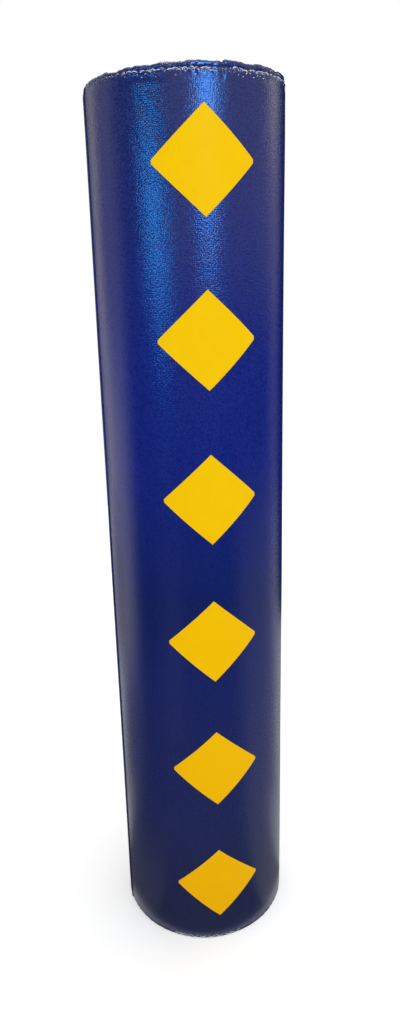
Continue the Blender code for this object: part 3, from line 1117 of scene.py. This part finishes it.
def felt(name, first, last, section, shade, ray="glossy"):
    """Felt from one azimuth in degrees to another, seen by one kind of ray. Its section is a line
    of radii and heights, carried round the pad's axis."""
    azimuths = np.radians(np.linspace(first, last, 25))
    radius, height = np.array(section).T[..., None]
    material, tree = new_material(name)
    glow = add(tree, "Emission", {"Color": linear(shade)})
    add(tree, "OutputMaterial", {"Surface": glow})
    points = polar(radius, azimuths, height)
    curtain = new_piece(name, points, grid_quads(len(section), len(azimuths)), material)
    for kind in ("camera", "diffuse", "glossy", "shadow", "transmission"):
        setattr(curtain, "visible_" + kind, kind == ray)
    curtain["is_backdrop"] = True


WALL = standing(FELT_DISTANCE, 3 * MM)
UPPER_WALL = standing(UPPER_FELT_DISTANCE, 0.85)
NEAR_FLOOR = lying(PAD_SIDE, NEAR_EDGE)
FAR_FLOOR = lying(NEAR_EDGE, FELT_DISTANCE)
WHOLE_FLOOR = lying(PAD_SIDE, FELT_DISTANCE)
for name, first, last, section, shade in (
    ("front_felt", -96, 45, (NEAR_FLOOR[0], *WALL), "101010"),
    ("front_right_felt", 45, 101, WALL, "101010"),
    ("front_upper_wall", -32, 101, standing(UPPER_FELT_DISTANCE, 1.25), "B0A89C"),
    ("front_right_floor", 45, 95, WHOLE_FLOOR, "989490"),
    ("right_floor", 95, 113, WHOLE_FLOOR, "A8A6A2"),
    ("right_low_wall", 101, 118, standing(FELT_DISTANCE, 3 * MM, 1.2), "9A9896"),
    ("right_upper_wall", 101, 118, standing(FELT_DISTANCE, 1.2), "D0C6B8"),
    ("right_foot_floor", 87, 130, lying(PAD_SIDE, 0.5, 4 * MM), "E0E0E0"),
    ("right_felt", 118, 172, ((1.6, 3 * MM), *WALL), "101010"),
    ("right_back_floor", 118, 172, lying(PAD_SIDE, 1.6), "CCCCCC"),
    ("left_wall", -148, -96, WALL, "FFF4E0"),
    ("left_upper_felt", -128, -113, UPPER_WALL, "8C867C"),
    ("left_upper_wall", -113, -96, UPPER_WALL, "D0C8BC"),
    ("left_foot_floor", -119, -55, lying(PAD_SIDE, 0.4, 5 * MM), "6C6C6C"),
    ("left_back_foot_floor", -190, -119, lying(PAD_SIDE, 0.56, 4 * MM), "F8F8F8"),
    ("left_near_floor", -130, -88, NEAR_FLOOR, "787878"),
    ("left_far_floor", -125, -96, FAR_FLOOR, "F0E8DC"),
    ("left_back_far_floor", -145, -125, FAR_FLOOR, "B0ACA6"),
    ("left_back_near_floor", -190, -130, NEAR_FLOOR, "F4F4F4"),
    ("left_back_floor", -190, -145, FAR_FLOOR, "D8D8D8"),
    ("left_felt", -190, -148, WALL, "484848"),
    ("front_left_floor", -55, -33, lying(1.2, 2.3, 5 * MM), "808080"),
):
    felt(name, first, last, section, shade)

# One felt far off to the left takes light from the colours of that side, which is in shade.
felt("left_shade", -150, -88, standing(7.0, 3 * MM, 10.0), "505050", ray="diffuse")

# The camera stands where the photograph was taken from. Its angles are in degrees.
CAMERA_AZIMUTH = -10.0
CAMERA_DISTANCE = 1.690
CAMERA_HEIGHT = 1.520
CAMERA_YAW = 0.350
CAMERA_PITCH = 18.094
CAMERA_ROLL = -1.423
CAMERA_LENS = 29.06

camera_data = bpy.data.cameras.new("camera")
camera_data.lens = CAMERA_LENS
camera_data.sensor_width = 36.0
camera = bpy.data.objects.new("camera", camera_data)
# It looks straight down at first. It is rolled, tipped up and turned towards the pad.
place = Vector(polar(CAMERA_DISTANCE, math.radians(CAMERA_AZIMUTH), CAMERA_HEIGHT))
aim = Matrix.Rotation(math.radians(CAMERA_AZIMUTH - CAMERA_YAW), 4, "Z")
tip = Matrix.Rotation(math.radians(90 - CAMERA_PITCH), 4, "X")
roll = Matrix.Rotation(math.radians(CAMERA_ROLL), 4, "Z")
camera.matrix_world = Matrix.Translation(place) @ aim @ tip @ roll
bpy.context.scene.collection.objects.link(camera)
bpy.context.scene.camera = camera
bpy.context.scene.view_settings.view_transform = "Standard"

low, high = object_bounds()
